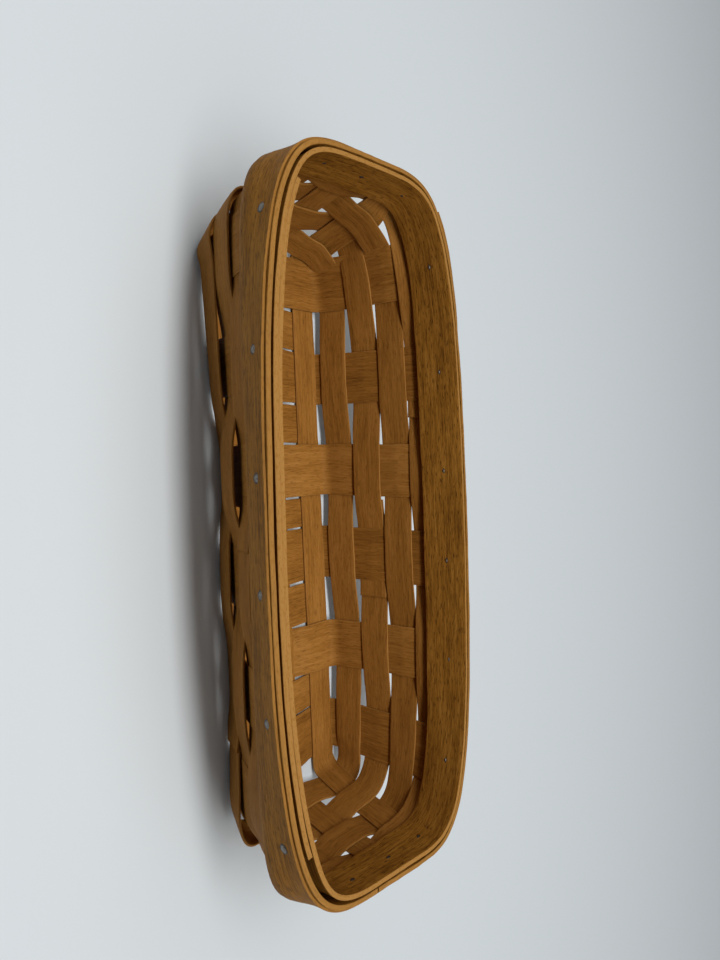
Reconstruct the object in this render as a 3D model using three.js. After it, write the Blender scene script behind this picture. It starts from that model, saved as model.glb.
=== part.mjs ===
// A splint-woven cracker basket: a long, low, flared basket of flat wooden splints with a nailed rim.
// Millimetres, +X along the length, +Z up. The origin is the middle of the underside.
import * as THREE from 'three';

// Overall sizes. The rim is measured where the wall's outside meets the full height, and each flare
// from there in to the middle of the wall at the table.
const rimLength = 292;
const rimWidth = 122;
const height = 72;
const endFlare = 10;
const sideFlare = 30.5;

// Wall shape: how much steeper the wall leans at its foot, and how square each outline is.
const footLean = 1.55;
const baseSquareness = 18;
const rimSideBow = 2.65;
const rimEndBow = 5.65;

// Splints
const splintThickness = 1;
const clearance = 0.3;
const rowCount = 6;
const rowWidth = 25;
const rowEndSpace = 25;
const fillerSlit = 0.7;
const fillerTuck = 12;
const longCount = 3;
const longSpace = 8.6;
const longEdgeSpace = 3.2;
const bendRun = 3;
const bendRise = 2.3;

// Wall weavers, from the foot up: three alike and a narrow one below the rim
const wideWeavers = 3;
const topWeaverWidth = 6.5;
const weaverSpace = 1.2;
const weaverFoot = 4.6;
const crossingMargin = 1.2;

// Rim bands
const rimDepth = 20.1;
const innerBandThickness = 2;
const topBandThickness = 1.8;
const outerBandThickness = 1.8;
const topBandDrop = 0.6;
const outerBandDrop = 2.8;
const outerBandRise = 0.4;
const uprightDrop = 4;

// Nails
const nailHeadRadius = 1.2;
const nailHeadThickness = 0.7;
const nailSides = 6;
const nailDrop = 8.5;

// Stations along each curve, and the steps of the wall's two searches
const cornerSteps = 7;
const sideSteps = 2;
const bendSteps = 4;
const outlineSteps = 720;
const halvings = 45;
const slopeStep = 0.01;

// Finishes
const splintColour = 0x9a6532;
const bandColour = 0x8a5c2c;
const nailColour = 0x8d8f90;

// The base, on the middle of the wall at the table
const baseLength = rimLength - 2 * endFlare;
const baseWidth = rimWidth - 2 * sideFlare;

// Depths across the wall, measured outwards from the middle of the uprights
const half = splintThickness / 2;
const crossing = splintThickness + clearance;
const innerBandDepth = -(half + clearance + innerBandThickness / 2);
const innerLapShift = -(innerBandThickness + clearance);
const topBandDepth = half + clearance + topBandThickness / 2;
const outerBandDepth = topBandDepth + topBandThickness / 2 + clearance + outerBandThickness / 2;
const outerLapShift = outerBandThickness + clearance;
const outerStack = outerBandDepth + outerBandThickness / 2;

// Heights
const floorLevel = half + crossing;
const rimFoot = height - rimDepth;
const outerFoot = rimFoot + outerBandRise;
const uprightTop = height - uprightDrop;
const weaverRoom = rimFoot - clearance - weaverFoot - topWeaverWidth - wideWeavers * weaverSpace;
const wideWeaverWidth = weaverRoom / wideWeavers;
const weavers = [];
for (let i = 0; i <= wideWeavers; i += 1) {
  const low = weaverFoot + i * (wideWeaverWidth + weaverSpace);
  const width = i < wideWeavers ? wideWeaverWidth : topWeaverWidth;
  weavers.push({ low, high: low + width, first: i % 2 === 0 ? 1 : -1 });
}

// Places of the splints on the floor
const rowPitch = (baseLength - 2 * rowEndSpace) / (rowCount - 1);
const rowCentres = Array.from({ length: rowCount }, (_, i) => (i - (rowCount - 1) / 2) * rowPitch);
const fillerWidth = rowPitch - rowWidth - 2 * fillerSlit;
const longReach = baseWidth / 2 - longEdgeSpace;
const longWidth = (2 * longReach - (longCount - 1) * longSpace) / longCount;
const longPitch = longWidth + longSpace;
const longCentres = Array.from({ length: longCount }, (_, i) => (i - (longCount - 1) / 2) * longPitch);

// Outline of the wall's middle at a height: half lengths and the two powers of its rounded oval.
function outline(z) {
  const rise = Math.min(Math.max(z / height, 0), 1);
  const lean = footLean * rise - (footLean - 1) * rise * rise;
  const mix = (low, high) => low + (high - low) * lean;
  return {
    a: mix(baseLength / 2, rimLength / 2 - outerStack),
    b: mix(baseWidth / 2, rimWidth / 2 - outerStack),
    p: 1 / mix(1 / baseSquareness, 1 / rimSideBow),
    q: 1 / mix(1 / baseSquareness, 1 / rimEndBow),
  };
}

// 1 on the middle of the wall, less inside it, more outside it.
function level(x, y, z) {
  const { a, b, p, q } = outline(z);
  return Math.abs(x / a) ** p + Math.abs(y / b) ** q;
}

function sideReach(x, z) {
  const { a, b, p, q } = outline(z);
  return b * Math.max(0, 1 - Math.abs(x / a) ** p) ** (1 / q);
}

function endReach(y, z) {
  const { a, b, p, q } = outline(z);
  return a * Math.max(0, 1 - Math.abs(y / b) ** q) ** (1 / p);
}

function outward({ x, y, z }) {
  return new THREE.Vector3(
    level(x + slopeStep, y, z) - level(x - slopeStep, y, z),
    level(x, y + slopeStep, z) - level(x, y - slopeStep, z),
    level(x, y, z + slopeStep) - level(x, y, z - slopeStep),
  ).normalize();
}

// The wall's middle at a turn about the axis, found by halving along the ray.
function wallAtTurn(turn, z) {
  const { a, b } = outline(z);
  let near = 0;
  let far = 2;
  for (let i = 0; i < halvings; i += 1) {
    const reach = (near + far) / 2;
    if (level(reach * a * Math.cos(turn), reach * b * Math.sin(turn), z) < 1) near = reach;
    else far = reach;
  }
  return new THREE.Vector3(near * a * Math.cos(turn), near * b * Math.sin(turn), z);
}

// Columns across a splint, from -1 at one edge to 1 at the other.
// Splints near a corner bend more, so they have more.
const fineShares = [-1, -0.5, 0, 0.5, 1];
const plainShares = [-1, 0, 1];
const rowShares = (i) => (i === 0 || i === rowCount - 1 ? fineShares : plainShares);

// The uprights in order round the wall, seen from above, anticlockwise from the +X end of the far side.
function rowUprights(side) {
  return rowCentres.map((centre, i) => ({ side, centre, width: rowWidth, shares: rowShares(i) }));
}

function longUprights(side) {
  return longCentres.map((centre) => ({ side, centre, width: longWidth, shares: fineShares }));
}

const uprights = [
  ...rowUprights('far').reverse(),
  ...longUprights('left').reverse(),
  ...rowUprights('near'),
  ...longUprights('right'),
];

// Where a line along the wall, at a distance from an upright's middle, meets the wall at a height.
function wallOnUpright({ side, centre }, shift, z) {
  const across = centre + shift;
  if (side === 'far') return new THREE.Vector3(across, sideReach(across, z), z);
  if (side === 'near') return new THREE.Vector3(across, -sideReach(across, z), z);
  if (side === 'left') return new THREE.Vector3(-endReach(across, z), across, z);
  return new THREE.Vector3(endReach(across, z), across, z);
}

// Stations round the wall at a height. Each has a point, and a weave value of 1 or -1 at alternate uprights
// that swings smoothly from one to the next between them.
const stationCache = new Map();
function stationsAt(z) {
  if (stationCache.has(z)) return stationCache.get(z);
  const { a, b } = outline(z);
  const turns = [0];
  const lengths = [0];
  let last = wallAtTurn(0, z);
  for (let i = 1; i <= outlineSteps; i += 1) {
    const turn = (i / outlineSteps) * 2 * Math.PI;
    const next = wallAtTurn(turn, z);
    turns.push(turn);
    lengths.push(lengths[i - 1] + next.distanceTo(last));
    last = next;
  }
  const perimeter = lengths[outlineSteps];
  const lookUp = (value, from, to) => {
    let i = 1;
    while (i < outlineSteps && from[i] < value) i += 1;
    const share = (value - from[i - 1]) / (from[i] - from[i - 1]);
    return to[i - 1] + share * (to[i] - to[i - 1]);
  };
  const lengthAt = (point) => {
    const turn = Math.atan2(point.y / b, point.x / a);
    return lookUp(turn < 0 ? turn + 2 * Math.PI : turn, turns, lengths);
  };
  const pointAt = (length) => {
    const wrapped = ((length % perimeter) + perimeter) % perimeter;
    return wallAtTurn(lookUp(wrapped, lengths, turns), z);
  };
  const stations = [];
  uprights.forEach((upright, k) => {
    const next = uprights[(k + 1) % uprights.length];
    const ahead = upright.side === 'near' || upright.side === 'right' ? 1 : -1;
    const nextAhead = next.side === 'near' || next.side === 'right' ? 1 : -1;
    const reach = upright.width / 2 + crossingMargin;
    const weave = k % 2 === 0 ? 1 : -1;
    for (const share of upright.shares) {
      stations.push({ point: wallOnUpright(upright, ahead * share * reach, z), weave, upright: k, share });
    }
    const start = lengthAt(wallOnUpright(upright, ahead * reach, z));
    let end = lengthAt(wallOnUpright(next, -nextAhead * (next.width / 2 + crossingMargin), z));
    if (end < start) end += perimeter;
    const sameSide = upright.side === next.side;
    const onEnd = sameSide && (upright.side === 'left' || upright.side === 'right');
    const steps = onEnd ? 1 : sameSide ? sideSteps : cornerSteps;
    for (let i = 1; i <= steps; i += 1) {
      const share = i / (steps + 1);
      const swing = share * share * (3 - 2 * share);
      const point = pointAt(start + share * (end - start));
      stations.push({ point, weave: weave * (1 - 2 * swing), upright: -1, share });
    }
  });
  stationCache.set(z, stations);
  return stations;
}

function stationIndex(uprightNumber, share) {
  return stationsAt(rimFoot).findIndex((s) => s.upright === uprightNumber && s.share === share);
}

// A closed mesh from equal rings of points, joined ring to ring, with flat ends or closed on itself.
// Each four-sided face is split along its shorter diagonal.
function meshFromRings(rings, closed) {
  const count = rings[0].length;
  const places = rings.flatMap((ring) => ring.flatMap((p) => [p.x, p.y, p.z]));
  const corner = (i) => rings[Math.floor(i / count)][i % count];
  const faces = [];
  const addFace = (a, b, c, d) => {
    if (corner(a).distanceTo(corner(c)) < corner(b).distanceTo(corner(d))) faces.push(a, b, c, a, c, d);
    else faces.push(a, b, d, b, c, d);
  };
  const pairs = closed ? rings.length : rings.length - 1;
  for (let r = 0; r < pairs; r += 1) {
    const here = r * count;
    const there = ((r + 1) % rings.length) * count;
    for (let i = 0; i < count; i += 1) {
      const j = (i + 1) % count;
      addFace(here + i, there + i, there + j, here + j);
    }
  }
  if (!closed) {
    const end = (rings.length - 1) * count;
    for (let i = 0; i < count / 2 - 1; i += 1) {
      const j = count - 1 - i;
      addFace(i, i + 1, j - 1, j);
      addFace(end + i, end + j, end + j - 1, end + i + 1);
    }
  }
  let volume = 0;
  for (let f = 0; f < faces.length; f += 3) {
    volume += corner(faces[f]).dot(corner(faces[f + 1]).clone().cross(corner(faces[f + 2])));
  }
  if (volume < 0) faces.reverse();
  const geometry = new THREE.BufferGeometry();
  geometry.setAttribute('position', new THREE.Float32BufferAttribute(places, 3));
  geometry.setIndex(faces);
  return geometry;
}

// A strip that lies along the wall between two heights. depthAt gives its middle's depth at each station,
// and the run of stations may pass the start again, so that the strip's ends lap.
function wallStrip({ low, high, thickness, depthAt, first = 0, count = null }) {
  const lows = stationsAt(low);
  const highs = stationsAt(high);
  const total = count ?? lows.length;
  const rings = [];
  for (let i = 0; i < total; i += 1) {
    const n = (first + i) % lows.length;
    const depth = depthAt(lows[n], i);
    const edge = ({ point }, shift) => point.clone().addScaledVector(outward(point), depth + shift);
    rings.push([
      edge(lows[n], -thickness / 2),
      edge(lows[n], thickness / 2),
      edge(highs[n], thickness / 2),
      edge(highs[n], -thickness / 2),
    ]);
  }
  return meshFromRings(rings, count === null);
}

// A sheet of even thickness on a grid of points: lines of points across it, one line per station.
function sheet(lines, thickness) {
  const rings = lines.map((line, i) => {
    const before = lines[Math.max(i - 1, 0)];
    const after = lines[Math.min(i + 1, lines.length - 1)];
    const faces = line.map((point, k) => {
      const along = after[k].clone().sub(before[k]);
      const across = line[Math.min(k + 1, line.length - 1)].clone().sub(line[Math.max(k - 1, 0)]);
      return across.cross(along).normalize();
    });
    const upper = line.map((point, k) => point.clone().addScaledVector(faces[k], thickness / 2));
    const lower = line.map((point, k) => point.clone().addScaledVector(faces[k], -thickness / 2));
    return [...upper, ...lower.reverse()];
  });
  return meshFromRings(rings, false);
}

const acrossLines = (columns) => columns[0].map((_, i) => columns.map((column) => column[i]));

// Heights of an upright's stations: the edges of the weavers and of the rim
const wallHeights = [...weavers.flatMap((w) => [w.low, w.high]), rimFoot, uprightTop];

// The turn from the floor up into the wall, a short curve with the floor and the wall as its tangents.
function bend(floorEnd, corner, wallStart) {
  const curve = new THREE.QuadraticBezierCurve3(floorEnd, corner, wallStart);
  return curve.getPoints(bendSteps);
}

// Floor stations of a crosswise splint: it passes over or under the lengthwise splints in turn.
function floorStations(overOuter) {
  const margin = Math.min(crossingMargin, longSpace / 4);
  const stations = [];
  longCentres.forEach((centre, k) => {
    const outer = k % 2 === 0;
    const swing = outer === overOuter ? 1 : -1;
    if (k > 0) stations.push({ y: centre - longPitch / 2, z: floorLevel });
    for (const reach of [-longWidth / 2 - margin, -longWidth / 2, longWidth / 2, longWidth / 2 + margin]) {
      stations.push({ y: centre + reach, z: floorLevel + swing * crossing });
    }
  });
  return stations;
}

// A crosswise splint: up the near wall, across the floor and up the far wall.
function crosswiseSplint(centre, shares, overOuter) {
  const stations = floorStations(overOuter);
  const edgeLevel = stations[0].z;
  const wallStart = edgeLevel + bendRise;
  const places = shares.map((share) => centre + (share * rowWidth) / 2);
  const floorEnd = Math.min(...places.map((x) => sideReach(x, edgeLevel))) - bendRun;
  const floor = stations.filter(({ y }) => Math.abs(y) < floorEnd);
  const heights = wallHeights.filter((z) => z > wallStart);
  const columns = places.map((x) => {
    const reach = sideReach(x, edgeLevel);
    const up = bend(
      new THREE.Vector3(x, reach - bendRun, edgeLevel),
      new THREE.Vector3(x, reach, edgeLevel),
      new THREE.Vector3(x, sideReach(x, wallStart), wallStart),
    );
    const farWall = [...up, ...heights.map((z) => new THREE.Vector3(x, sideReach(x, z), z))];
    const nearWall = farWall.map((p) => new THREE.Vector3(p.x, -p.y, p.z)).reverse();
    return [...nearWall, ...floor.map(({ y, z }) => new THREE.Vector3(x, y, z)), ...farWall];
  });
  return sheet(acrossLines(columns), splintThickness);
}

// A lengthwise splint: up the -X end, along the floor and up the +X end.
function lengthwiseSplint(centre) {
  const wallStart = floorLevel + bendRise;
  const heights = wallHeights.filter((z) => z > wallStart);
  const columns = fineShares.map((share) => {
    const y = centre + (share * longWidth) / 2;
    const reach = endReach(y, floorLevel);
    const up = bend(
      new THREE.Vector3(reach - bendRun, y, floorLevel),
      new THREE.Vector3(reach, y, floorLevel),
      new THREE.Vector3(endReach(y, wallStart), y, wallStart),
    );
    const rightWall = [...up, ...heights.map((z) => new THREE.Vector3(endReach(y, z), y, z))];
    const leftWall = rightWall.map((p) => new THREE.Vector3(-p.x, p.y, p.z)).reverse();
    return [...leftWall, ...rightWall];
  });
  return sheet(acrossLines(columns), splintThickness);
}

// A short filler between two crosswise splints, its ends tucked under the outer lengthwise splints.
function fillerSplint(centre) {
  const tuckEnd = longCentres[longCount - 1] - longWidth / 2 + fillerTuck;
  const edgeLevel = floorStations(false)[0].z;
  const between = floorStations(false).filter(({ y }) => Math.abs(y) < tuckEnd);
  const floor = [{ y: -tuckEnd, z: edgeLevel }, ...between, { y: tuckEnd, z: edgeLevel }];
  const lines = floor.map(({ y, z }) =>
    [-0.5, 0.5].map((share) => new THREE.Vector3(centre + share * fillerWidth, y, z)));
  return sheet(lines, splintThickness);
}

// The inner band laps along the whole near side, and the outer band over the far upright at the -X end.
const farLast = rowCount - 1;
const nearFirst = rowCount + longCount;
const nearLast = nearFirst + rowCount - 1;
const ringStations = stationsAt(rimFoot).length;
const innerStart = stationIndex(nearFirst, -1);
const innerLap = stationIndex(nearLast, 1) - innerStart + 1;
const outerStart = stationIndex(farLast, -1);
const outerLap = stationIndex(farLast, 1) - outerStart + 1;
const swingAt = (i, start, steps) => {
  const share = Math.min(Math.max((i - start) / steps, 0), 1);
  return share * share * (3 - 2 * share);
};
const innerDepth = (station, i) => innerBandDepth + innerLapShift * (1 - swingAt(i, innerLap, cornerSteps));
const outerDepth = (station, i) =>
  outerBandDepth + outerLapShift * swingAt(i, ringStations - sideSteps - 1, sideSteps + 1);

// A nail at each upright, square to the wall, with its head on the outer band.
const nailHeight = height - nailDrop;
const nails = uprights.map((upright, k) => {
  const point = wallOnUpright(upright, 0, nailHeight);
  const facing = outward(point);
  const seat = outerStack + (k === farLast ? outerLapShift : 0) + clearance / 2;
  return { facing, place: point.addScaledVector(facing, seat) };
});

function nailHead() {
  const profile = [
    [0, 0],
    [nailHeadRadius, 0],
    [nailHeadRadius, nailHeadThickness / 2],
    [0, nailHeadThickness],
  ];
  return new THREE.LatheGeometry(profile.map(([r, h]) => new THREE.Vector2(r, h)), nailSides);
}

const splintFinish = new THREE.MeshStandardMaterial({ color: splintColour, roughness: 0.6, metalness: 0 });
const bandFinish = new THREE.MeshStandardMaterial({ color: bandColour, roughness: 0.55, metalness: 0 });
const nailFinish = new THREE.MeshStandardMaterial({ color: nailColour, roughness: 0.45, metalness: 0.9 });

const basket = new THREE.Group();
function add(name, geometry, finish) {
  const mesh = new THREE.Mesh(geometry, finish.clone());
  mesh.name = name;
  basket.add(mesh);
  return mesh;
}

longCentres.forEach((centre, i) => add(`lengthwise_splint_${i + 1}`, lengthwiseSplint(centre), splintFinish));

rowCentres.forEach((centre, i) => {
  add(`crosswise_splint_${i + 1}`, crosswiseSplint(centre, rowShares(i), i % 2 === 0), splintFinish);
});

for (let i = 1; i < rowCount; i += 1) {
  add(`filler_splint_${i}`, fillerSplint((rowCentres[i - 1] + rowCentres[i]) / 2), splintFinish);
}

weavers.forEach(({ low, high, first }, i) => {
  const depthAt = (station) => -first * station.weave * crossing;
  add(`wall_weaver_${i + 1}`, wallStrip({ low, high, thickness: splintThickness, depthAt }), splintFinish);
});

const innerBand = wallStrip({
  low: rimFoot, high: height, thickness: innerBandThickness, depthAt: innerDepth,
  first: innerStart, count: ringStations + innerLap,
});
const topBand = wallStrip({
  low: outerFoot + topBandDrop, high: height - topBandDrop, thickness: topBandThickness,
  depthAt: () => topBandDepth,
});
const outerBand = wallStrip({
  low: outerFoot, high: height - outerBandDrop, thickness: outerBandThickness, depthAt: outerDepth,
  first: outerStart, count: ringStations + outerLap,
});
add('inner_rim_band', innerBand, bandFinish);
add('top_rim_band', topBand, bandFinish);
add('outer_rim_band', outerBand, bandFinish);

nails.forEach((nail, i) => {
  const mesh = add(`rim_nail_${i + 1}`, nailHead(), nailFinish);
  mesh.position.copy(nail.place);
  mesh.quaternion.setFromUnitVectors(new THREE.Vector3(0, 1, 0), nail.facing);
});

export default basket;
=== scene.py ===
import math

import bpy
import numpy as np
from mathutils import Matrix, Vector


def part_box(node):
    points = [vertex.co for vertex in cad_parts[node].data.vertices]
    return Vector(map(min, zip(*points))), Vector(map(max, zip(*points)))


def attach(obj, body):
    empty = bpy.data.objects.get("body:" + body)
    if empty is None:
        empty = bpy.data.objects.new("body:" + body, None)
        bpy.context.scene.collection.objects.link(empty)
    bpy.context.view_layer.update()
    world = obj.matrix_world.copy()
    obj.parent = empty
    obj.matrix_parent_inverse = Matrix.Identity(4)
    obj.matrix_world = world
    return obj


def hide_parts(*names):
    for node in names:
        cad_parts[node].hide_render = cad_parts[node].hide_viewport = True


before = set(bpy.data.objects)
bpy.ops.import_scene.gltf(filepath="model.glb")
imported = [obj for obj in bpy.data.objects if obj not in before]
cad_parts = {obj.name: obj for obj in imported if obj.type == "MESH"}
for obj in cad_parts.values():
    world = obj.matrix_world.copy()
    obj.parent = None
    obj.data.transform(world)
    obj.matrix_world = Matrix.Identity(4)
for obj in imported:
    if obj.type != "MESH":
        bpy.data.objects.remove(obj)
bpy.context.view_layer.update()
mm = 0.001
print("frame loaded:", len(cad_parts), "nodes")

# The camera looks down on the basket from its near side, with the picture's top towards the -X end.
view = {
    "place": (-16.74, -211.34, 241.66),  # mm
    "down": 41.13,  # degrees below level
    "roll": -1.9,
    "tilt": 0.205,
    "lens": 25.75,  # mm on a 36 mm frame
}


def turnMatrix(axis, angle):
    # the rows of a turn about x or z
    c, s = math.cos(angle), math.sin(angle)
    turns = {"x": [[1, 0, 0], [0, c, -s], [0, s, c]], "z": [[c, -s, 0], [s, c, 0], [0, 0, 1]]}
    return np.array(turns[axis])


def aimCamera():
    # picture right, picture down and forward as rows, then a small roll and tilt
    down, roll, tilt = (math.radians(view[key]) for key in ("down", "roll", "tilt"))
    c, s = math.cos(down), math.sin(down)
    axes = turnMatrix("x", tilt) @ turnMatrix("z", roll) @ np.array([[0, s, c], [1, 0, 0], [0, c, -s]])
    data = bpy.data.cameras.new("viewCamera")
    data.lens = view["lens"]
    data.sensor_width = 36
    data.clip_start = 0.01
    camera = bpy.data.objects.new("viewCamera", data)
    place = Matrix(np.array([axes[0], -axes[1], -axes[2]]).T.tolist()).to_4x4()
    place.translation = [v * mm for v in view["place"]]
    camera.matrix_world = place
    bpy.context.scene.collection.objects.link(camera)
    bpy.context.scene.camera = camera


aimCamera()
print("camera set")

# The wall: a rounded oval that grows from base to rim and leans out most at its foot.
wall = {
    "height": 71.0,  # mm
    "rimHalf": (141.3, 58.45),
    "baseHalf": (125.5, 31.6),
    "rimBow": (2.83, 4.9),  # the oval's powers along and across
    "baseBow": 21.5,
    "nearSquare": (48, 70),  # mm up, where the near corners go from square to the rim's bow
    "farRound": 0.09,  # below the rim the far -X corner is rounder
    "farRoundEnd": (44, 52),  # mm up
    "footLean": 1.04,
    "endLean": 1.75,
}
# This basket is handmade. Its base sits askew under its rim, and its rim leans to the near side.
askew = {
    "baseShift": (1.7, 2.7),  # mm
    "baseTwist": 1.18,  # degrees
    "rimShift": -1.4,
    "rimLean": 0.3,
    "endSkew": 0.022,  # how much the far side is longer than the near one, as a share
    "baseSkew": (1.5, 0.5, 3.0),  # mm the base's near -X and near +X corners move to +X, and its far +X to -X
    "cornerPull": 3.4,  # the near -X corner of the base is pulled out
    "cornerPlace": -118.0,
    "cornerReach": 38.0,
    "nearHollow": (2.5, -0.008),  # mm the near wall is drawn in below the rim, and its change along X
    "hollowEnd": (43, 54),  # mm up
}
rows = {
    "count": 6,
    "baseMoves": (-1.0, -0.8, -0.3, -3.8, -2.7, -5.1),  # mm from the even spacing, at the base and the rim
    "rimMoves": (1.6, 4.3, 4.4, 0.5, 0.7, 1.4),
    "widths": (24.4, 24.6, 24.9, 25.4, 23.4, 25.0),
    "top": 67.0,
    "floorSteps": 60,
    "wavers": ((0.25, 120), (0.15, 45)),  # mm and wavelength, of the middle and of the edges
    "tones": (0.05, -0.05, 0.12, -0.06, 0.12, -0.03),
}
longs = {
    "baseCentres": (-23.6, 0.2, 23.7),  # mm across the base, near to far
    "rimCentres": {-1: (-19.9, 1.6, 29.3), 1: (-17.7, 4.0, 24.5)},
    "width": 13.4,
    "floorSteps": 230,
    "wavers": ((0.2, 150), (0.12, 50)),
    "tones": (0.0, 0.02, 0.04),
}
floorLevel = 1.8  # mm, the middle of the floor's plait
crossing = 1.25  # mm a splint rises or sinks at a crossing


def mix(low, high, share):
    return low + (high - low) * share


def smooth(low, high, value):
    share = np.clip((value - low) / (high - low), 0, 1)
    return share * share * (3 - 2 * share)


def leanAt(z, foot=wall["footLean"]):
    # lean goes from 0 at the table to 1 at the rim along a parabola
    rise = np.clip(z / wall["height"], 0, 1.1)
    return foot * rise - (foot - 1) * rise**2


def outlineAt(z, x, y):
    # half length, half width and the two powers of the oval, which keep the near corners square below the rim
    # and the far -X corner round
    lean = leanAt(z)
    a = mix(wall["baseHalf"][0], wall["rimHalf"][0], leanAt(z, wall["endLean"]))
    b = mix(wall["baseHalf"][1], wall["rimHalf"][1], lean)
    bow = np.where(np.asarray(y) < 0, lean * mix(lean**2, 1, smooth(*wall["nearSquare"], z)), lean)
    p = 1 / mix(1 / wall["baseBow"], 1 / wall["rimBow"][0], bow)
    atCorner = (np.asarray(y) > 0) * (np.asarray(x) < 0)
    rounder = wall["farRound"] * (1 - smooth(*wall["farRoundEnd"], z)) * atCorner
    q = 1 / (mix(1 / wall["baseBow"], 1 / wall["rimBow"][1], bow) + rounder)
    return a, b, p, q


def setAskew(points):
    # the base turns and moves by a share that fades with the lean, the ends skew, the rim moves across, and
    # the near wall is drawn in below the rim
    x, y, z = points[..., 0], points[..., 1], points[..., 2]
    lean = leanAt(z)
    turn = math.radians(askew["baseTwist"]) * (1 - lean)
    newX = x * np.cos(turn) - y * np.sin(turn) + askew["baseShift"][0] * (1 - lean)
    newY = x * np.sin(turn) + y * np.cos(turn) + askew["baseShift"][1] * (1 - lean)
    newX = newX * (1 + askew["endSkew"] * lean * newY / outlineAt(z, x, y)[1])
    nearLow, nearHigh, farHigh = askew["baseSkew"]
    skew = np.where(y < 0, np.where(x < 0, nearLow, nearHigh), farHigh * (x > 0)) * (1 - lean)
    newX = newX - skew * y / wall["baseHalf"][1] * (x / wall["baseHalf"][0]) ** 4
    newY = newY + askew["rimShift"] * lean + askew["rimLean"] * (z / wall["height"]) ** 6
    pull = np.exp(-(((x - askew["cornerPlace"]) / askew["cornerReach"]) ** 2)) * np.clip(1 - lean, 0, 1) ** 2
    nearShare = np.clip(-y / wall["baseHalf"][1], 0, 1)
    hollow = (askew["nearHollow"][0] + askew["nearHollow"][1] * x) * (1 - smooth(*askew["hollowEnd"], z))
    newY = newY + hollow * nearShare**2 - askew["cornerPull"] * pull * nearShare
    return np.stack([newX, newY, z], axis=-1)


def outwardAt(points):
    # the level slope of |x/a|^p + |y/b|^q, so that it points straight out from the oval
    x, y, z = points[..., 0], points[..., 1], points[..., 2]
    a, b, p, q = outlineAt(z, x, y)
    slopeX = p / a * np.abs(x / a) ** (p - 1) * np.sign(x)
    slopeY = q / b * np.abs(y / b) ** (q - 1) * np.sign(y)
    slope = np.stack([slopeX, slopeY, 0 * z], axis=-1)
    return slope / np.linalg.norm(slope, axis=-1, keepdims=True)


def sidePoint(x, z, side):
    # the wall's middle on a long side, where side is 1 for far and -1 for near
    a, b, p, q = outlineAt(z, x, side)
    share = np.clip(1 - np.abs(x / a) ** p, 0, 1)
    return np.stack([x, side * b * share ** (1 / q), z], axis=-1)


def endPoint(y, z, end):
    # the wall's middle at an end, where end is 1 for +X and -1 for -X
    a, b, p, q = outlineAt(z, end, y)
    share = np.clip(1 - np.abs(y / b) ** q, 0, 1)
    return np.stack([end * a * share ** (1 / p), y, z], axis=-1)


def wallAtTurn(turn, z):
    # the ray at a turn about the axis meets the oval; halving finds where
    c, s = np.cos(turn), np.sin(turn)
    a, b, p, q = outlineAt(z, c, s)
    near, far = np.zeros_like(turn), np.full_like(turn, 2.0)
    for _ in range(42):
        reach = (near + far) / 2
        inside = np.abs(reach * c) ** p + np.abs(reach * s) ** q < 1
        near, far = np.where(inside, reach, near), np.where(inside, far, reach)
    return np.stack([near * a * c, near * b * s, z], axis=-1)


def rowPlace(index, z):
    # a row keeps the solid's place, moved a little at the base and the rim
    low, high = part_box(f"crosswise_splint_{index + 1}")
    middle = (low.x + high.x) / 2 / mm
    return middle + mix(rows["baseMoves"][index], rows["rimMoves"][index], leanAt(z))


def longPlace(index, z, end):
    # an end upright moves across evenly from the base to the rim
    return mix(longs["baseCentres"][index], longs["rimCentres"][end][index], leanAt(z))


# Uprights count round the wall, anticlockwise from the +X end of the far side:
# far rows 6 to 1, three at the -X end, near rows 1 to 6, three at the +X end.
uprightCount = 2 * rows["count"] + 6
ringSteps = {"heights": 40, "turns": 1441, "perUpright": 24}


def uprightPoints(z):
    # the wall's middle at each upright, in their order round it
    z = np.array(float(z))
    order = range(rows["count"])
    points = [sidePoint(rowPlace(i, z), z, 1) for i in reversed(order)]
    points += [endPoint(longPlace(i, z, -1), z, -1) for i in (2, 1, 0)]
    points += [sidePoint(rowPlace(i, z), z, -1) for i in order]
    points += [endPoint(longPlace(i, z, 1), z, 1) for i in (0, 1, 2)]
    return np.array(points)


def ringTurns(z):
    # turns at even steps between upright middles, spaced by length along the wall
    turns = np.linspace(0, 2 * np.pi, ringSteps["turns"])
    points = wallAtTurn(turns, np.full_like(turns, z))
    lengths = np.concatenate([[0], np.cumsum(np.linalg.norm(np.diff(points[:, :2], axis=0), axis=1))])
    a, b, _, _ = outlineAt(z, 0, 0)
    marks = uprightPoints(z)
    angles = np.arctan2(marks[:, 1] / b, marks[:, 0] / a)
    places = np.interp(angles % (2 * np.pi), turns, lengths)
    perimeter = lengths[-1]
    late = np.arange(uprightCount) > uprightCount / 2
    places = np.where(late, places + perimeter * (places < perimeter / 2), places)
    places = np.append(places, places[0] + perimeter)
    steps = np.linspace(0, uprightCount, uprightCount * ringSteps["perUpright"] + 1)
    along = np.interp(steps, np.arange(uprightCount + 1), places)
    return np.interp(along % perimeter, lengths, turns) + 2 * np.pi * np.floor(along / perimeter)


ringHeights = np.linspace(0, wall["height"] + 4, ringSteps["heights"])
ringTable = np.array([ringTurns(z) for z in ringHeights])


def wallPoint(place, z):
    # the wall's middle at a place counted in uprights and at a height, read from the table by two-way mixing
    place, z = np.broadcast_arrays(np.asarray(place, float), np.asarray(z, float))
    across = (place % uprightCount) * ringSteps["perUpright"]
    up = np.clip(z / ringHeights[1], 0, ringSteps["heights"] - 1.001)
    i, j = np.floor(up).astype(int), np.floor(across).astype(int)
    u, v = up - i, across - j
    low = mix(ringTable[i, j], ringTable[i, j + 1], v)
    high = mix(ringTable[i + 1, j], ringTable[i + 1, j + 1], v)
    return wallAtTurn(mix(low, high, u), z)


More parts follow.
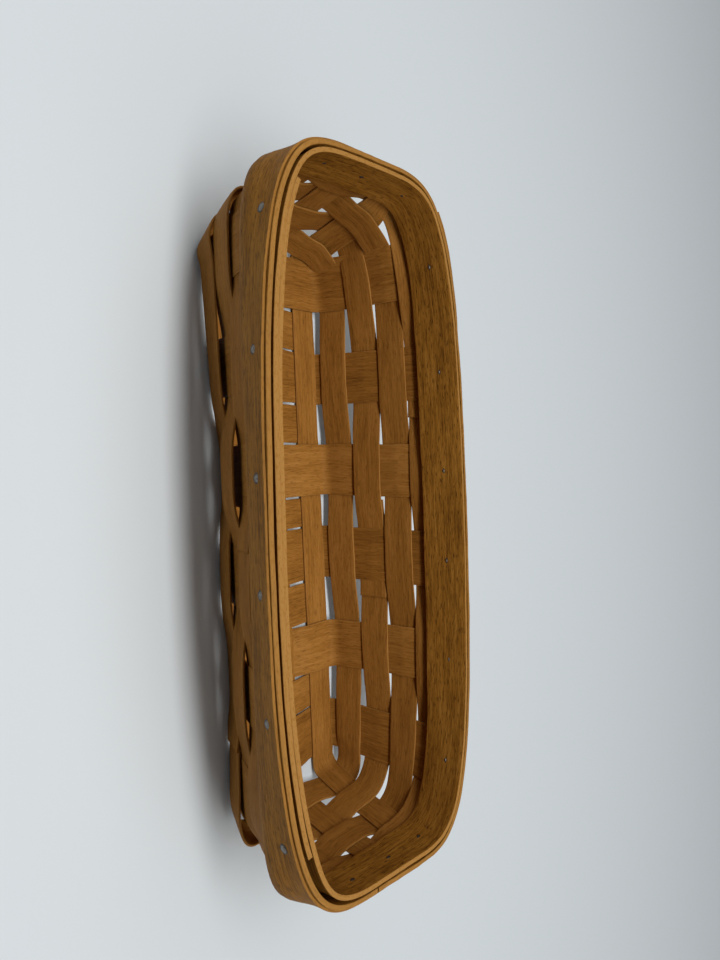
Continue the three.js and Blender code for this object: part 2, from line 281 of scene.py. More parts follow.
def wallSheet(place, z, depth):
    # the wall's middle, moved straight out by a depth
    points = wallPoint(place, z)
    return points + outwardAt(points) * np.asarray(depth)[..., None]


def waver(along, seed, amount, length):
    # a slow waver: four sines whose waves shorten, with seeded starts
    starts = np.random.default_rng(seed).uniform(0, 2 * np.pi, 4)
    pairs = zip((1, 1.9, 3.1, 4.7), starts)
    waves = sum(np.sin(2 * np.pi * along * k / length + start) / k for k, start in pairs)
    return amount * waves / 1.5


print("wall worked out:", ringTable.shape, "places")


# Strips
strip = {
    "step": 1.1,  # mm along a splint
    "inner": 7,  # columns between the rounded edges
    "edge": (0, 0.3),  # shares of the edge's round that have columns too
    "mapScale": 0.01,  # grain map units per mm
}


def acrossPlaces(width, edgeRound):
    # columns across a strip, from one edge to the other, close together at its rounded edges
    half = width / 2
    edge = np.array(strip["edge"]) * edgeRound
    inner = np.linspace(-half + edgeRound, half - edgeRound, strip["inner"])
    return np.concatenate([-half + edge, inner, half - edge[::-1]])


def layStrip(name, middle, shape, finish, node, seed):
    # Both faces lie half a thickness off the middle grid along its normal, and the edges are rounded by a
    # quarter circle. The closed ring of points round each station is joined to the next.
    middle = setAskew(middle)
    stations, columns = middle.shape[:2]
    along = np.gradient(middle, axis=0)
    across = np.gradient(middle, axis=1)
    normal = np.cross(along, across)
    normal /= np.linalg.norm(normal, axis=2, keepdims=True)
    width = np.linalg.norm(np.diff(middle, axis=1), axis=2).mean(axis=0)
    offset = np.concatenate([[0], np.cumsum(width)])
    edgeShare = np.clip(np.minimum(offset, offset[-1] - offset) / shape["round"], 0, 1)
    half = shape["thickness"] / 2 * mix(shape["edgeFlat"], 1, np.sqrt(1 - (1 - edgeShare) ** 2))
    faces = [middle + normal * half[None, :, None], middle - normal * half[None, :, None]]
    ring = np.concatenate([faces[0], faces[1][:, ::-1]], axis=1)
    count = 2 * columns
    index = np.arange(stations * count).reshape(stations, count)
    nextRing = np.roll(index, -1, axis=1)
    quads = np.stack([index[:-1], index[1:], nextRing[1:], nextRing[:-1]], axis=-1).reshape(-1, 4)
    j = np.arange(columns - 1)
    cap = np.stack([j, j + 1, count - 2 - j, count - 1 - j], axis=-1)
    startCap, endCap = index[0][cap], index[-1][cap]
    points = ring.reshape(-1, 3)

    # the grain's map: length along the strip, and the way round its section
    length = np.linalg.norm(np.diff(middle[:, columns // 2], axis=0), axis=1)
    run = np.concatenate([[0], np.cumsum(length)])
    gap = np.linalg.norm(np.roll(ring, -1, axis=1) - ring, axis=2).mean(axis=0)
    girth = np.concatenate([[0], np.cumsum(gap)])
    i0, k0 = np.meshgrid(np.arange(stations - 1), np.arange(count), indexing="ij")
    mapU = np.stack([run[i0], run[i0 + 1], run[i0 + 1], run[i0]], axis=-1).reshape(-1, 4)
    mapV = np.stack([girth[k0], girth[k0], girth[k0 + 1], girth[k0 + 1]], axis=-1).reshape(-1, 4)
    capU = np.tile([0, 0, shape["thickness"], shape["thickness"]], (columns - 1, 1))
    capV = np.stack([offset[j], offset[j + 1], offset[j + 1], offset[j]], axis=-1)
    quads = np.concatenate([quads, startCap[:, ::-1], endCap])
    mapU = np.concatenate([mapU, capU[:, ::-1], capU + run[-1]])
    mapV = np.concatenate([mapV, capV[:, ::-1], capV])

    # the sign of the volume tells which way the faces point
    corners = points[quads]
    volume = np.einsum("ij,ij->", corners[:, 0], np.cross(corners[:, 1], corners[:, 2]))
    volume += np.einsum("ij,ij->", corners[:, 0], np.cross(corners[:, 2], corners[:, 3]))
    if volume < 0:
        quads, mapU, mapV = quads[:, ::-1], mapU[:, ::-1], mapV[:, ::-1]

    mesh = bpy.data.meshes.new(name)
    mesh.from_pydata((points * mm).tolist(), [], quads.tolist())
    soft = np.ones(len(quads), bool)
    soft[-2 * (columns - 1):] = False
    mesh.polygons.foreach_set("use_smooth", soft)
    layer = mesh.uv_layers.new(name="grain")
    start = np.random.default_rng(seed).uniform(0, 40, 2)
    layer.data.foreach_set("uv", (np.stack([mapU, mapV], axis=-1) * strip["mapScale"] + start).ravel())
    arris = np.where(edgeShare < 0.5, 1.0, 0.0)
    high = np.where(np.arange(columns) > columns / 2, arris, 0)
    low = np.where(np.arange(columns) < columns / 2, arris, 0)
    cut = np.maximum(high * shape["cutHigh"], low * shape["cutLow"])
    for label, values in (("arris", arris), ("cut", cut)):
        ringValues = np.concatenate([values, values[::-1]])
        data = mesh.attributes.new(label, "FLOAT", "POINT").data
        data.foreach_set("value", np.tile(ringValues, stations).astype(np.float32))
    tone = mesh.attributes.new("tone", "FLOAT", "POINT").data
    tone.foreach_set("value", np.full(len(points), shape["tone"], np.float32))
    mesh.materials.append(finish)
    piece = bpy.data.objects.new(name, mesh)
    bpy.context.scene.collection.objects.link(piece)
    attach(piece, "root")
    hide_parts(node)
    return piece


# Finishes
woodTones = {
    "splint": {
        "dark": (0.112, 0.040, 0.006),
        "mid": (0.267, 0.110, 0.019),
        "light": (0.378, 0.172, 0.039),
        "arris": (0.430, 0.215, 0.060),
        "cut": (0.430, 0.215, 0.060),
        "pore": (0.08, 0.026, 0.004),
        "poreAmount": 0.45,
        "streaks": (0.85, 0.75),
        "arrisAmount": 0.35,
    },
    "band": {
        "dark": (0.095, 0.036, 0.006),
        "mid": (0.262, 0.109, 0.014),
        "light": (0.392, 0.180, 0.032),
        "arris": (0.378, 0.189, 0.052),
        "cut": (0.375, 0.184, 0.047),
        "pore": (0.06, 0.02, 0.004),
        "poreAmount": 0.8,
        "streaks": (1.25, 1.2),
        "arrisAmount": 0.2,
    },
}
grainLayers = {  # along and across counts per 100 mm
    "broad": (1.4, 10),
    "streak": (4.5, 85),
    "fibre": (16, 420),
    "pore": (26, 230),
    "speckle": (55, 150),
}
woodLook = {
    "broadAmount": 0.7,
    "poreStep": (0.56, 0.72),
    "speckleStep": (0.5, 0.68),
    "speckleAmount": 0.55,
    "roughness": (0.42, 0.25),  # at least, and how much more along the streaks
    "specular": 0.04,
    "poreDepth": 0.8,
    "streakDepth": 0.8,
    "bumpStrength": 0.35,
    "bumpDistance": 0.00025,
}


def addNode(tree, kind, **values):
    node = tree.nodes.new(kind)
    for key, value in values.items():
        setattr(node, key, value)
    return node


def mathNode(tree, operation, first, second):
    node = addNode(tree, "ShaderNodeMath", operation=operation)
    for socket, value in zip(node.inputs, (first, second)):
        if isinstance(value, (int, float)):
            socket.default_value = value
        else:
            tree.links.new(value, socket)
    return node.outputs[0]


def grainNoise(tree, source, name, detail):
    mapping = addNode(tree, "ShaderNodeMapping")
    mapping.inputs["Scale"].default_value = (*grainLayers[name], 1)
    noise = addNode(tree, "ShaderNodeTexNoise", noise_dimensions="2D")
    noise.inputs["Scale"].default_value = 1
    noise.inputs["Detail"].default_value = detail
    noise.inputs["Roughness"].default_value = 0.6
    tree.links.new(source, mapping.inputs["Vector"])
    tree.links.new(mapping.outputs["Vector"], noise.inputs["Vector"])
    return noise.outputs["Fac"]


def mixColour(tree, share, first, second):
    node = addNode(tree, "ShaderNodeMix", data_type="RGBA")
    sockets = (node.inputs[0], node.inputs[6], node.inputs[7])
    for socket, value in zip(sockets, (share, first, second)):
        if isinstance(value, tuple):
            socket.default_value = (*value, 1)
        else:
            tree.links.new(value, socket)
    return node.outputs[2]


def stepUp(tree, value, low, high):
    node = addNode(tree, "ShaderNodeMapRange", interpolation_type="SMOOTHSTEP")
    tree.links.new(value, node.inputs["Value"])
    node.inputs["From Min"].default_value = low
    node.inputs["From Max"].default_value = high
    return node.outputs["Result"]


def addBump(tree, height, strength, distance):
    bump = addNode(tree, "ShaderNodeBump")
    bump.inputs["Strength"].default_value = strength
    bump.inputs["Distance"].default_value = distance
    tree.links.new(height, bump.inputs["Height"])
    tree.links.new(bump.outputs["Normal"], tree.nodes["Principled BSDF"].inputs["Normal"])


def woodFinish(name, tones):
    # value = tone + broad patches + streaks + fibres, read through a dark to light ramp, with pores over it
    material = bpy.data.materials.new(name)
    material.use_nodes = True
    tree = material.node_tree
    shader = tree.nodes["Principled BSDF"]
    grain = addNode(tree, "ShaderNodeUVMap", uv_map="grain").outputs["UV"]
    read = {key: addNode(tree, "ShaderNodeAttribute", attribute_name=key).outputs["Fac"]
            for key in ("arris", "cut", "tone")}
    broad = grainNoise(tree, grain, "broad", 3)
    streak = grainNoise(tree, grain, "streak", 4)
    fibre = grainNoise(tree, grain, "fibre", 2)
    pore = stepUp(tree, grainNoise(tree, grain, "pore", 2), *woodLook["poreStep"])
    speckle = stepUp(tree, grainNoise(tree, grain, "speckle", 3), *woodLook["speckleStep"])
    value = mathNode(tree, "MULTIPLY", mathNode(tree, "SUBTRACT", broad, 0.5), woodLook["broadAmount"])
    for noise, amount in zip((streak, fibre), tones["streaks"]):
        swing = mathNode(tree, "MULTIPLY", mathNode(tree, "SUBTRACT", noise, 0.5), amount)
        value = mathNode(tree, "ADD", value, swing)
    value = mathNode(tree, "ADD", mathNode(tree, "ADD", value, 0.5), read["tone"])
    ramp = addNode(tree, "ShaderNodeValToRGB")
    ramp.color_ramp.elements[0].color = (*tones["dark"], 1)
    ramp.color_ramp.elements[1].color = (*tones["light"], 1)
    ramp.color_ramp.elements.new(0.5).color = (*tones["mid"], 1)
    tree.links.new(value, ramp.inputs["Fac"])
    poreShare = mathNode(tree, "MULTIPLY", pore, tones["poreAmount"])
    colour = mixColour(tree, poreShare, ramp.outputs["Color"], tones["pore"])
    arrisShare = mathNode(tree, "MULTIPLY", read["arris"], tones["arrisAmount"])
    colour = mixColour(tree, arrisShare, colour, tones["arris"])
    speckleShare = mathNode(tree, "MULTIPLY", speckle, woodLook["speckleAmount"])
    cutColour = mixColour(tree, speckleShare, tones["cut"], tones["mid"])
    colour = mixColour(tree, read["cut"], colour, cutColour)
    tree.links.new(colour, shader.inputs["Base Color"])
    least, more = woodLook["roughness"]
    roughness = mathNode(tree, "ADD", mathNode(tree, "MULTIPLY", streak, more), least)
    tree.links.new(roughness, shader.inputs["Roughness"])
    shader.inputs["Specular IOR Level"].default_value = woodLook["specular"]
    relief = mathNode(tree, "SUBTRACT", fibre, mathNode(tree, "MULTIPLY", pore, woodLook["poreDepth"]))
    relief = mathNode(tree, "ADD", relief, mathNode(tree, "MULTIPLY", streak, woodLook["streakDepth"]))
    addBump(tree, relief, woodLook["bumpStrength"], woodLook["bumpDistance"])
    return material


splintWood = woodFinish("splintWood", woodTones["splint"])
bandWood = woodFinish("bandWood", woodTones["band"])
print("wood finishes made")

splintShape = {"thickness": 1.0, "round": 0.3, "edgeFlat": 0.55, "cutHigh": 0, "cutLow": 0, "tone": 0.0}

# Weavers
weavers = {
    "edges": ((4.3, 17.1), (19.2, 32.2), (32.9, 45.9), (46.2, 52.3)),  # mm, foot and top of each
    "swing": (0.8, 0.8, 0.8, 0.75),  # mm in and out of the uprights
    "endSwing": 1.3,
    "drawnIn": (1.3, 0, 1.4, 0),  # mm more at the far upright of the -X end
    "near": (  # mm out at each upright of the near side, where they stand off and pass the other way
        (3.0, 3.5, -0.8, 2.6, -0.8, 2.4),
        (2.0, -0.7, 4.6, -0.7, 2.9, -0.7),
        (-0.7, 2.7, -0.7, 3.1, -0.7, 1.4),
        (0.9, -0.8, 0.9, -0.8, 0.9, -0.8),
    ),
    "corners": ((2.2, 1.0), (0.4, -3.0), (0, -4.0), (0, 0)),  # mm more at the near corners, -X and +X
    "dips": ((0, 0), (0, 3.0), (3.0, 1.5), (0.5, 0.5)),  # mm they sink there
    "cornerPlaces": (8.62, 14.5),
    "lapFrom": (12.55, 1.55, 10.6, 3.55),  # where each starts, counted in uprights
    "lapLength": 1.1,
    "lapGap": 1.06,
    "lapEase": 0.7,
    "length": 760,  # mm round the wall, and from upright to upright
    "spacing": 42,
    "wavers": ((0.22, 190), (0.12, 60)),  # mm and wavelength, of the middle and of the edges
    "wavingEdge": 3,  # mm off the middle
    "tones": (0.08, 0.07, 0.03, 0.1),
    "uprightSwing": 0.35,
    "nearFrom": (7.5, 9),  # uprights, where the near side begins and ends
    "nearTo": (14, 15.5),
    "nearFoot": (2.7, 3.8, 2.4, 0.5),  # mm their lower edges hang lower on the near side
    "hangShare": (1.5, 0.6),  # how much of that inside the uprights, and outside
    "hangFade": (0.5, 2.5),  # mm out
}


def nearSide(place):
    # 1 along the near side and 0 elsewhere, easing over at its corners
    around = place % uprightCount
    return smooth(*weavers["nearFrom"], around) * (1 - smooth(*weavers["nearTo"], around))


def atCorners(amounts, around):
    # each near corner's own amount, easing in and out by a squared cosine over half an upright's spacing
    reach = [np.clip(around - middle, -0.5, 0.5) * np.pi for middle in weavers["cornerPlaces"]]
    return sum(amount * np.cos(turn) ** 2 for amount, turn in zip(amounts, reach))


def weaverKnots(index):
    # how far out it lies at each upright in turn: out and in by its swing, with the near side's own list
    place = np.arange(uprightCount + 1)
    atEnd = (np.abs(place - 7) < 2) | (np.abs(place - 16) < 2)
    knots = np.where(atEnd, weavers["endSwing"], weavers["swing"][index]) * (-1.0) ** (place + index + 1)
    knots[rows["count"]] -= weavers["drawnIn"][index]
    knots[rows["count"] + 3:uprightCount - 3] = weavers["near"][index]
    return knots


def weaverDepth(index, place):
    # between two uprights it eases over by a flattened cosine, and the near corners add their own
    around = place % uprightCount
    step = np.floor(around).astype(int)
    share = (1 - np.sin(np.pi / 2 * np.cos(np.pi * (around - step)))) / 2
    knots = weaverKnots(index)
    depth = mix(knots[step], knots[step + 1], share)
    return depth + atCorners(weavers["corners"][index], around)


def weaver(index):
    # the strip runs once round the wall and laps over its own start, one thickness further out; on the near
    # side its foot hangs, more where it lies inside
    foot, top = weavers["edges"][index]
    start = weavers["lapFrom"][index]
    length = uprightCount + weavers["lapLength"]
    steps = int(length / uprightCount * weavers["length"] / strip["step"])
    place = np.linspace(start, start + length, steps)[:, None]
    run = place * weavers["spacing"]
    offsets = acrossPlaces(top - foot, splintShape["round"])[None, :]
    whole, edges = weavers["wavers"]
    z = (foot + top) / 2 + offsets + waver(run, 10 + index, *whole)
    z = z + np.sign(offsets) * waver(run, 20 + index, *edges) * (np.abs(offsets) > weavers["wavingEdge"])
    bare = weaverDepth(index, place)
    share = mix(*weavers["hangShare"], smooth(*weavers["hangFade"], bare))
    hang = weavers["nearFoot"][index] * nearSide(place) * share
    z = z - hang * (0.5 - offsets / (top - foot)) - atCorners(weavers["dips"][index], place % uprightCount)
    half = weavers["lapGap"] / 2
    lapTo = start + weavers["lapLength"]
    begin = 1 - smooth(lapTo, lapTo + weavers["lapEase"], place)
    end = smooth(start + uprightCount - weavers["lapEase"], start + uprightCount, place)
    depth = bare + half * (end - begin)
    middle = wallSheet(np.broadcast_to(place, z.shape), z, np.broadcast_to(depth, z.shape))
    shape = {**splintShape, "tone": weavers["tones"][index]}
    name = f"wall_weaver_{index + 1}"
    return layStrip(f"weaver{index + 1}", middle, shape, splintWood, name, 100 + index)


for number in range(len(weavers["edges"])):
    weaver(number)
print("weavers laid")

# Crosswise and lengthwise splints
bend = {
    "overRun": 4.0,  # mm of floor that the bend takes up, for a splint that passes over and one under
    "underRun": 1.6,
    "rise": 4.0,
    "steps": 9,
    "pastEdge": 40.0,  # mm across, past the outer lengthwise splints
    "endFoot": 2,  # mm up, where the uprights of the ends begin to give
    "fullGive": 14,
    "tuck": 0.5,  # mm in, under the rim
    "tuckFrom": (50, 56),
}


def uprightSwing(upright, z):
    # an upright gives a little the other way at each weaver
    centres = [sum(edges) / 2 for edges in weavers["edges"]]
    gives = [-np.sign(weaverKnots(index)[upright]) for index in range(len(centres))]
    return weavers["uprightSwing"] * np.interp(z, centres, gives)


def bendCurve(floorEnd, corner, wallStart):
    # a quadratic curve from the floor, by the corner, to the wall
    t = np.linspace(0, 1, bend["steps"])[:, None, None]
    return (1 - t) ** 2 * floorEnd + 2 * t * (1 - t) * corner + t**2 * wallStart


def floorHeight(y, overMiddle):
    # a crosswise splint passes over or under the three lengthwise ones in turn
    pitch = (longs["baseCentres"][2] - longs["baseCentres"][0]) / 2
    phase = np.clip((y - longs["baseCentres"][1]) / pitch, -1, 1)
    return floorLevel + (1 if overMiddle else -1) * crossing * np.sin(np.pi / 2 * np.cos(np.pi * phase))


def rowSide(index, offsets, side, overMiddle):
    # one half of a crosswise splint, from the floor's edge up the wall
    edge = floorHeight(side * bend["pastEdge"], overMiddle)
    upright = rows["count"] - 1 - index if side > 0 else index + rows["count"] + 3
    z0 = np.full_like(offsets, edge)
    corner = sidePoint(rowPlace(index, z0) + offsets, z0, side)
    floorEnd = corner - np.array([0, side * bend["underRun" if overMiddle else "overRun"], 0])
    z = np.linspace(edge + bend["rise"], rows["top"], int(rows["top"] / strip["step"]))[:, None] + 0 * offsets
    points = sidePoint(rowPlace(index, z) + offsets, z, side)
    depth = uprightSwing(upright, z) * smooth(edge, bend["fullGive"], z)
    depth = depth - bend["tuck"] * smooth(*bend["tuckFrom"], z)
    points = points + outwardAt(points) * depth[..., None]
    return np.concatenate([bendCurve(floorEnd, corner, points[0])[:-1], points])


def crosswise(index):
    # from the near rim down the wall, over and under across the floor, and up the far wall
    overMiddle = index % 2 == 1
    offsets = acrossPlaces(rows["widths"][index], splintShape["round"])
    far = rowSide(index, offsets, 1, overMiddle)
    near = rowSide(index, offsets, -1, overMiddle)
    share = np.linspace(0, 1, rows["floorSteps"])[1:-1, None, None]
    floor = mix(near[0], far[0], share)
    floor[..., 2] = floorHeight(floor[..., 1], overMiddle)
    middle = np.concatenate([near[::-1], floor, far])
    run = np.arange(len(middle))[:, None] * strip["step"]
    whole, edges = rows["wavers"]
    middle[..., 0] += waver(run, 40 + index, *whole) + np.sign(offsets) * waver(run, 50 + index, *edges)
    shape = {**splintShape, "tone": rows["tones"][index]}
    name = f"crosswise_splint_{index + 1}"
    return layStrip(f"row{index + 1}", middle, shape, splintWood, name, 120 + index)


def lengthwise(index):
    # along the floor and up both ends
    offsets = acrossPlaces(longs["width"], splintShape["round"])
    halves = []
    for end in (-1, 1):
        upright = rows["count"] + 2 - index if end < 0 else uprightCount - 3 + index
        z0 = np.full_like(offsets, floorLevel)
        corner = endPoint(longPlace(index, z0, end) + offsets, z0, end)
        floorEnd = corner - np.array([end * bend["overRun"], 0, 0])
        count = int(rows["top"] / strip["step"])
        z = np.linspace(floorLevel + bend["rise"], rows["top"], count)[:, None] + 0 * offsets
        points = endPoint(longPlace(index, z, end) + offsets, z, end)
        depth = uprightSwing(upright, z) * smooth(bend["endFoot"], bend["fullGive"], z)
        depth = depth - bend["tuck"] * smooth(*bend["tuckFrom"], z)
        points = points + outwardAt(points) * depth[..., None]
        halves.append(np.concatenate([bendCurve(floorEnd, corner, points[0])[:-1], points]))
    share = np.linspace(0, 1, longs["floorSteps"])[1:-1, None, None]
    floor = mix(halves[0][0], halves[1][0], share)
    middle = np.concatenate([halves[0][::-1], floor, halves[1]])
    run = np.arange(len(middle))[:, None] * strip["step"]
    whole, edges = longs["wavers"]
    middle[..., 1] += waver(run, 60 + index, *whole) + np.sign(offsets) * waver(run, 70 + index, *edges)
    shape = {**splintShape, "tone": longs["tones"][index]}
    name = f"lengthwise_splint_{index + 1}"
    return layStrip(f"long{index + 1}", middle, shape, splintWood, name, 140 + index)


fillers = {"slit": 1.0, "tuck": 25.0, "steps": 48, "tones": (0.02, 0.0, -0.02, 0.0, 0.03)}


def filler(index):
    # a short splint between two rows, under the outer lengthwise splints and over the middle one
    z0 = np.array(floorLevel)
    low = rowPlace(index, z0) + rows["widths"][index] / 2 + fillers["slit"]
    high = rowPlace(index + 1, z0) - rows["widths"][index + 1] / 2 - fillers["slit"]
    offsets = acrossPlaces(high - low, splintShape["round"])
    y = np.linspace(-fillers["tuck"], fillers["tuck"], fillers["steps"])[:, None] + 0 * offsets
    x = (low + high) / 2 + offsets + 0 * y
    middle = np.stack([x, y, floorHeight(y, True)], axis=-1)
    shape = {**splintShape, "tone": fillers["tones"][index]}
    name = f"filler_splint_{index + 1}"
    return layStrip(f"filler{index + 1}", middle, shape, splintWood, name, 160 + index)


for number in range(rows["count"]):
    crosswise(number)
for number in range(3):
    lengthwise(number)
for number in range(rows["count"] - 1):
    filler(number)
print("splints laid")

# Rim bands. Depths are measured out from the middle of the uprights.
rim = {
    "innerFoot": 52.6, "innerTop": 71.0, "innerDepth": -2.05, "innerThickness": 1.85,
    "lapShift": -1.97, "lapGap": -0.5, "lapFrom": 8.65, "lapTo": 14.02,  # doubled along the near side
    "gapFrom": 1.7, "lapEase": (0.1, 0.95),
    "topFoot": 53.0, "topTop": 70.5, "topDepth": 1.0, "topThickness": 1.85,
    "outerFoot": 48.9, "outerTop": 68.9, "outerDepth": 2.6, "outerThickness": 1.1,
    "outerLapFrom": 4.55, "outerLapLength": 1.0, "outerLapShift": 2.0, "outerLapEase": 0.5,
    "slant": 0.06, "topSeam": 15.3, "topGap": 0.025,
    "length": 790, "spacing": 43,  # mm round the rim, and from upright to upright
    "wavers": ((0.15, 160), (0.1, 50), (0.12, 110)),  # mm and wavelength, of the middle, edges and depth
    "wavingEdge": 4,
}
bandShape = {"thickness": 2.0, "round": 0.25, "edgeFlat": 0.85, "cutHigh": 1.0, "cutLow": 0.3, "tone": 0.0}


def band(name, foot, top, start, length, depthOf, shape, node, seed, slant=0.0):
    # a strip along the wall from foot to top; slant shears its far end into a diagonal cut
    steps = int(length / uprightCount * rim["length"] / strip["step"])
    share = np.linspace(0, 1, steps)[:, None]
    offsets = acrossPlaces(top - foot, shape["round"])[None, :]
    place = start + length * share + slant * share * offsets / (top - foot) * 2
    run = place * rim["spacing"]
    whole, edges, sway = rim["wavers"]
    z = (foot + top) / 2 + offsets + waver(run, seed, *whole)
    z = z + np.sign(offsets) * waver(run, seed + 1, *edges) * (np.abs(offsets) > rim["wavingEdge"])
    depth = depthOf(start + length * share) + waver(run, seed + 2, *sway)
    middle = wallSheet(place, z, np.broadcast_to(depth, z.shape))
    return layStrip(name, middle, shape, bandWood, node, seed)


def innerDepth(place):
    # the first pass along the near side lies inside the last one, and joins its line past the corner
    before, after = rim["lapEase"]
    shift = rim["lapShift"] + rim["lapGap"] * smooth(rim["lapTo"] - rim["gapFrom"], rim["lapTo"], place)
    return rim["innerDepth"] + shift * (1 - smooth(rim["lapTo"] - before, rim["lapTo"] + after, place))


def topDepth(place):
    # even all round
    return rim["topDepth"] + 0 * place


def outerDepth(place):
    # even, and moved out where it laps over its own start
    begin = rim["outerLapFrom"] + uprightCount
    return rim["outerDepth"] + rim["outerLapShift"] * smooth(begin - rim["outerLapEase"], begin, place)


innerLength = uprightCount + rim["lapTo"] - rim["lapFrom"]
band("innerBand", rim["innerFoot"], rim["innerTop"], rim["lapFrom"], innerLength, innerDepth,
     {**bandShape, "thickness": rim["innerThickness"], "tone": 0.02}, "inner_rim_band", 200, rim["slant"])
band("topBand", rim["topFoot"], rim["topTop"], rim["topSeam"], uprightCount - rim["topGap"], topDepth,
     {**bandShape, "thickness": rim["topThickness"], "cutHigh": 0.6}, "top_rim_band", 210)
band("outerBand", rim["outerFoot"], rim["outerTop"], rim["outerLapFrom"],
     uprightCount + rim["outerLapLength"], outerDepth,
     {**bandShape, "thickness": rim["outerThickness"], "cutHigh": 0.35}, "outer_rim_band", 220)
print("rim bands laid")

# Nails: a domed head on the outer band and a clinched point on the inner one.
nails = {
    "height": 62.9,
    "radius": 1.4,
    "dome": 0.55,
    "tip": 0.85,
    "tipDome": 0.3,
    "tipStretch": 0.6,
    "around": 20,
    "share": (0.02, 0.35, 0.65, 0.88, 1.0, 1.03, 1.42, 1.42),  # of the radius, from the middle to the ring
    "rise": (1.0, 0.93, 0.74, 0.45, 0.15, 0.06, 0.05, -0.4),  # of the dome
    "ringFrom": 4,  # the last of them that is steel
    "moves": {9: -0.065},
    "lapped": 5,  # the one through the outer band's lap
    "colour": (0.20, 0.19, 0.175),
    "rust": (0.13, 0.085, 0.055),
    "stain": (0.018, 0.010, 0.006),  # the dark ring in the wood round each head
    "metal": 0.75,
    "roughness": 0.45,
    "mottle": 1400,
    "rustStep": (0.45, 0.7),
    "bumpStrength": 0.3,
    "bumpDistance": 0.0001,
}


def nailFinish():
    material = bpy.data.materials.new("nailSteel")
    material.use_nodes = True
    tree = material.node_tree
    shader = tree.nodes["Principled BSDF"]
    place = addNode(tree, "ShaderNodeTexCoord").outputs["Object"]
    noise = addNode(tree, "ShaderNodeTexNoise")
    noise.inputs["Scale"].default_value = nails["mottle"]
    noise.inputs["Detail"].default_value = 3
    tree.links.new(place, noise.inputs["Vector"])
    rust = stepUp(tree, noise.outputs["Fac"], *nails["rustStep"])
    colour = mixColour(tree, rust, nails["colour"], nails["rust"])
    stain = addNode(tree, "ShaderNodeAttribute", attribute_name="stain").outputs["Fac"]
    tree.links.new(mixColour(tree, stain, colour, nails["stain"]), shader.inputs["Base Color"])
    metal = mathNode(tree, "SUBTRACT", nails["metal"], mathNode(tree, "MULTIPLY", stain, nails["metal"]))
    tree.links.new(metal, shader.inputs["Metallic"])
    shader.inputs["Roughness"].default_value = nails["roughness"]
    addBump(tree, noise.outputs["Fac"], nails["bumpStrength"], nails["bumpDistance"])
    return material


nailSteel = nailFinish()


def domeGrid(centre, facing, radius, height, stretch):
    # rings of points: a low dome that falls faster towards its edge, down to a thin stained ring
    around = np.linspace(0, 2 * np.pi, nails["around"], endpoint=False)
    share, rise = np.array(nails["share"]), np.array(nails["rise"])
    side = np.cross(facing, [0, 0, 1.0])
    side /= np.linalg.norm(side)
    up = np.cross(side, facing)
    flat = np.cos(around)[:, None] * side + stretch * np.sin(around)[:, None] * up
    grid = centre + radius * share[:, None, None] * flat[None] + height * rise[:, None, None] * facing
    return grid.reshape(-1, 3), len(share), len(around)


def nail(index):
    # one dome out on the outer band and a flatter one in on the inner band
    point = wallPoint(index + nails["moves"].get(index, 0.0), nails["height"])
    facing = outwardAt(point)
    lapped = rim["outerLapShift"] if index == nails["lapped"] else 0
    doubled = rim["lapShift"] if rows["count"] + 3 <= index < uprightCount - 3 else 0
    headSeat = rim["outerDepth"] + rim["outerThickness"] / 2 + lapped
    tipSeat = rim["innerDepth"] - rim["innerThickness"] / 2 + doubled
    head, rings, count = domeGrid(point + facing * headSeat, facing, nails["radius"], nails["dome"], 1.0)
    tipShape = nails["tip"], nails["tipDome"], nails["tipStretch"]
    tip, _, _ = domeGrid(point + facing * tipSeat, -facing, *tipShape)
    points = setAskew(np.concatenate([head, tip]))
    base = np.arange(rings * count).reshape(rings, count)
    following = np.roll(base, -1, axis=1)
    quads = np.stack([base[:-1], base[1:], following[1:], following[:-1]], axis=-1).reshape(-1, 4)
    faces = quads.tolist() + (quads + rings * count).tolist()
    faces += [base[0].tolist(), (base[0] + rings * count).tolist()]
    faces += [base[-1][::-1].tolist(), (base[-1][::-1] + rings * count).tolist()]
    mesh = bpy.data.meshes.new(f"nail{index + 1}")
    mesh.from_pydata((points * mm).tolist(), [], faces)
    mesh.polygons.foreach_set("use_smooth", np.ones(len(faces), bool))
    ringStain = np.arange(rings) > nails["ringFrom"]
    tipStain = ringStain if index < rows["count"] else np.ones(rings, bool)
    stain = np.repeat(np.concatenate([ringStain, tipStain]), count).astype(np.float32)
    mesh.attributes.new("stain", "FLOAT", "POINT").data.foreach_set("value", stain)
    mesh.materials.append(nailSteel)
    piece = bpy.data.objects.new(f"nail{index + 1}", mesh)
    bpy.context.scene.collection.objects.link(piece)
    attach(piece, "root")
    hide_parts(f"rim_nail_{index + 1}")


for number in range(uprightCount):
    nail(number)
print("nails driven")

# Floor and light
studio = {
    "floorColour": (0.62, 0.655, 0.67),
    "floorHalf": 3.0,
    "floorRoughness": 0.7,
    "floorSpecular": 0.2,
    "keyPlace": (0.0, -0.297, 1.3),
    "keySize": (1.8, 0.26),  # along X and across
    "keyPower": 14.0,
    "ambient": (0.95, 0.98, 1.0),
    "skyLow": 0.005,  # the sky's strength towards both long sides, and over the line of the basket
    "skyHigh": 0.85,
    "skyStep": (0.35, 0.02),  # of the square of the direction's Y
}


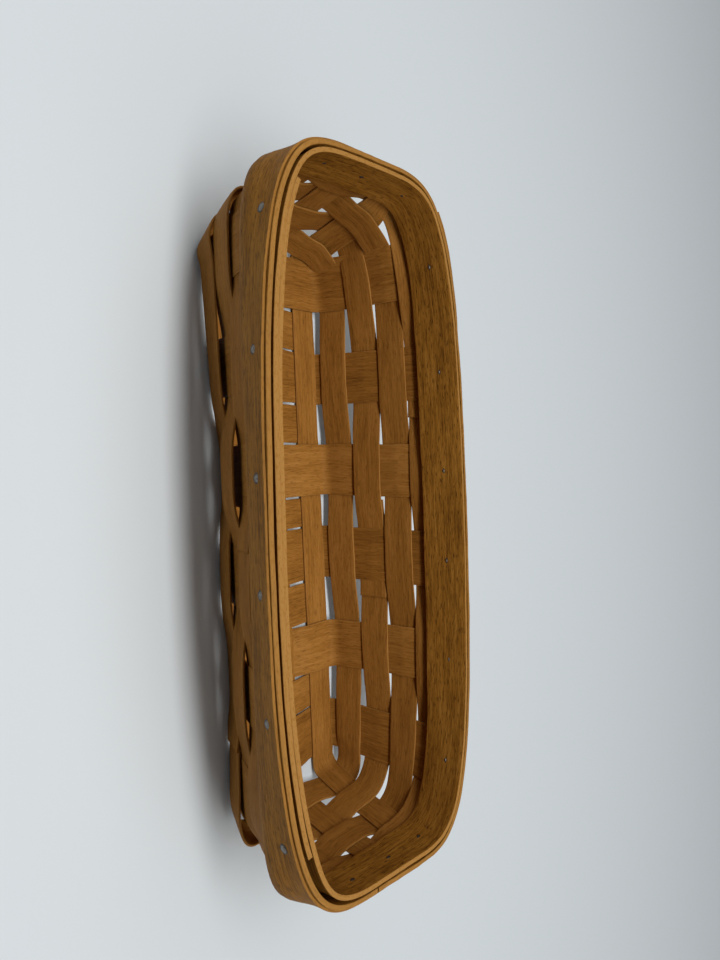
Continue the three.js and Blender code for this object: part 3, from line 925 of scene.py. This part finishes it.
def addTable():
    half = studio["floorHalf"]
    mesh = bpy.data.meshes.new("tableTop")
    corners = [(-half, -half, 0), (half, -half, 0), (half, half, 0), (-half, half, 0)]
    mesh.from_pydata(corners, [], [(0, 1, 2, 3)])
    material = bpy.data.materials.new("paleTable")
    material.use_nodes = True
    shader = material.node_tree.nodes["Principled BSDF"]
    shader.inputs["Base Color"].default_value = (*studio["floorColour"], 1)
    shader.inputs["Roughness"].default_value = studio["floorRoughness"]
    shader.inputs["Specular IOR Level"].default_value = studio["floorSpecular"]
    mesh.materials.append(material)
    table = bpy.data.objects.new("tableTop", mesh)
    bpy.context.scene.collection.objects.link(table)


def addKey():
    # a long soft light over the basket's line that faces the origin
    data = bpy.data.lights.new("keyLight", "AREA")
    data.shape = "ELLIPSE"
    data.size, data.size_y = studio["keySize"]
    data.energy = studio["keyPower"]
    key = bpy.data.objects.new("keyLight", data)
    place = np.array(studio["keyPlace"])
    back = place / np.linalg.norm(place)
    across = np.cross(back, [1.0, 0, 0])
    across /= np.linalg.norm(across)
    turn = Matrix(np.array([np.cross(across, back), across, back]).T.tolist()).to_4x4()
    turn.translation = place.tolist()
    key.matrix_world = turn
    bpy.context.scene.collection.objects.link(key)


def addSky():
    # bright over the line of the basket, dark towards its long sides
    world = bpy.data.worlds.new("softSky")
    world.use_nodes = True
    background = world.node_tree.nodes["Background"]
    background.inputs["Color"].default_value = (*studio["ambient"], 1)
    sky = world.node_tree
    split = addNode(sky, "ShaderNodeSeparateXYZ")
    sky.links.new(addNode(sky, "ShaderNodeTexCoord").outputs["Generated"], split.inputs["Vector"])
    square = mathNode(sky, "MULTIPLY", split.outputs["Y"], split.outputs["Y"])
    climb = stepUp(sky, square, *studio["skyStep"])
    spread = mathNode(sky, "MULTIPLY", climb, studio["skyHigh"] - studio["skyLow"])
    sky.links.new(mathNode(sky, "ADD", spread, studio["skyLow"]), background.inputs["Strength"])
    bpy.context.scene.world = world


addTable()
addKey()
addSky()
bpy.context.scene.view_settings.view_transform = "Standard"
print("studio set")
